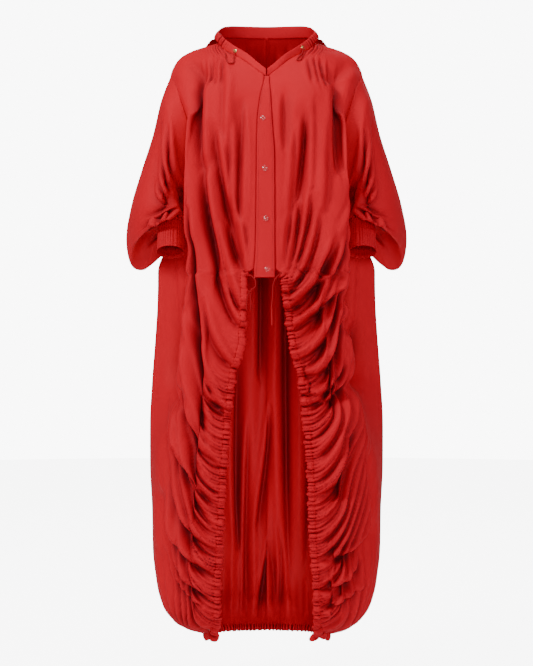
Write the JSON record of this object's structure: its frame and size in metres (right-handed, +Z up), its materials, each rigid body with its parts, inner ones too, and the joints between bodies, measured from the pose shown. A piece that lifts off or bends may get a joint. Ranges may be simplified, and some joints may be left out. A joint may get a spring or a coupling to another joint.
{
  "type": "windbreaker",
  "caption": "Long hooded cocoon windbreaker, worn and filled out: snapped band, hood laid back, bloused sleeves on shirred cuffs, gathered open front and elastic hem.",
  "frame": {"origin": "the garment's middle plane at the level of the wearer's shoulders, where it is held, 1.36 m above the hem line", "axes": "+Z up along the length, +X to the wearer's left (the viewer's right seen from the front), -Y to the front opening"},
  "size_m": [0.6556, 0.421, 1.4419],
  "materials": {
    "cloth": "matte woven nylon-poplin, slight sheen",
    "snap_paint": "gloss paint",
    "brass": "polished",
    "cord": "matte braided cord"
  },
  "bodies": {
    "root": {"front_left": "cloth", "front_right": "cloth", "back": "cloth", "sleeve_left": "cloth", "sleeve_right": "cloth", "cuff_left": "cloth", "cuff_right": "cloth", "hood_left": "cloth", "hood_right": "cloth", "hood_casing": "cloth", "placket_over": "cloth", "placket_under": "cloth", "front_casing_left": "cloth", "front_casing_right": "cloth", "hem_casing": "cloth", "snap_cap_1": "snap_paint", "snap_cap_2": "snap_paint", "snap_cap_3": "snap_paint", "snap_cap_4": "snap_paint", "eyelet_left": "brass", "eyelet_right": "brass", "cord_hood_left": "cord", "cord_hood_right": "cord", "cord_waist_left_loop": "cord", "cord_waist_left_outer": "cord", "cord_waist_left_inner": "cord", "cord_waist_right": "cord", "knot_left": "cord", "knot_right": "cord"}
  },
  "joints": []
}
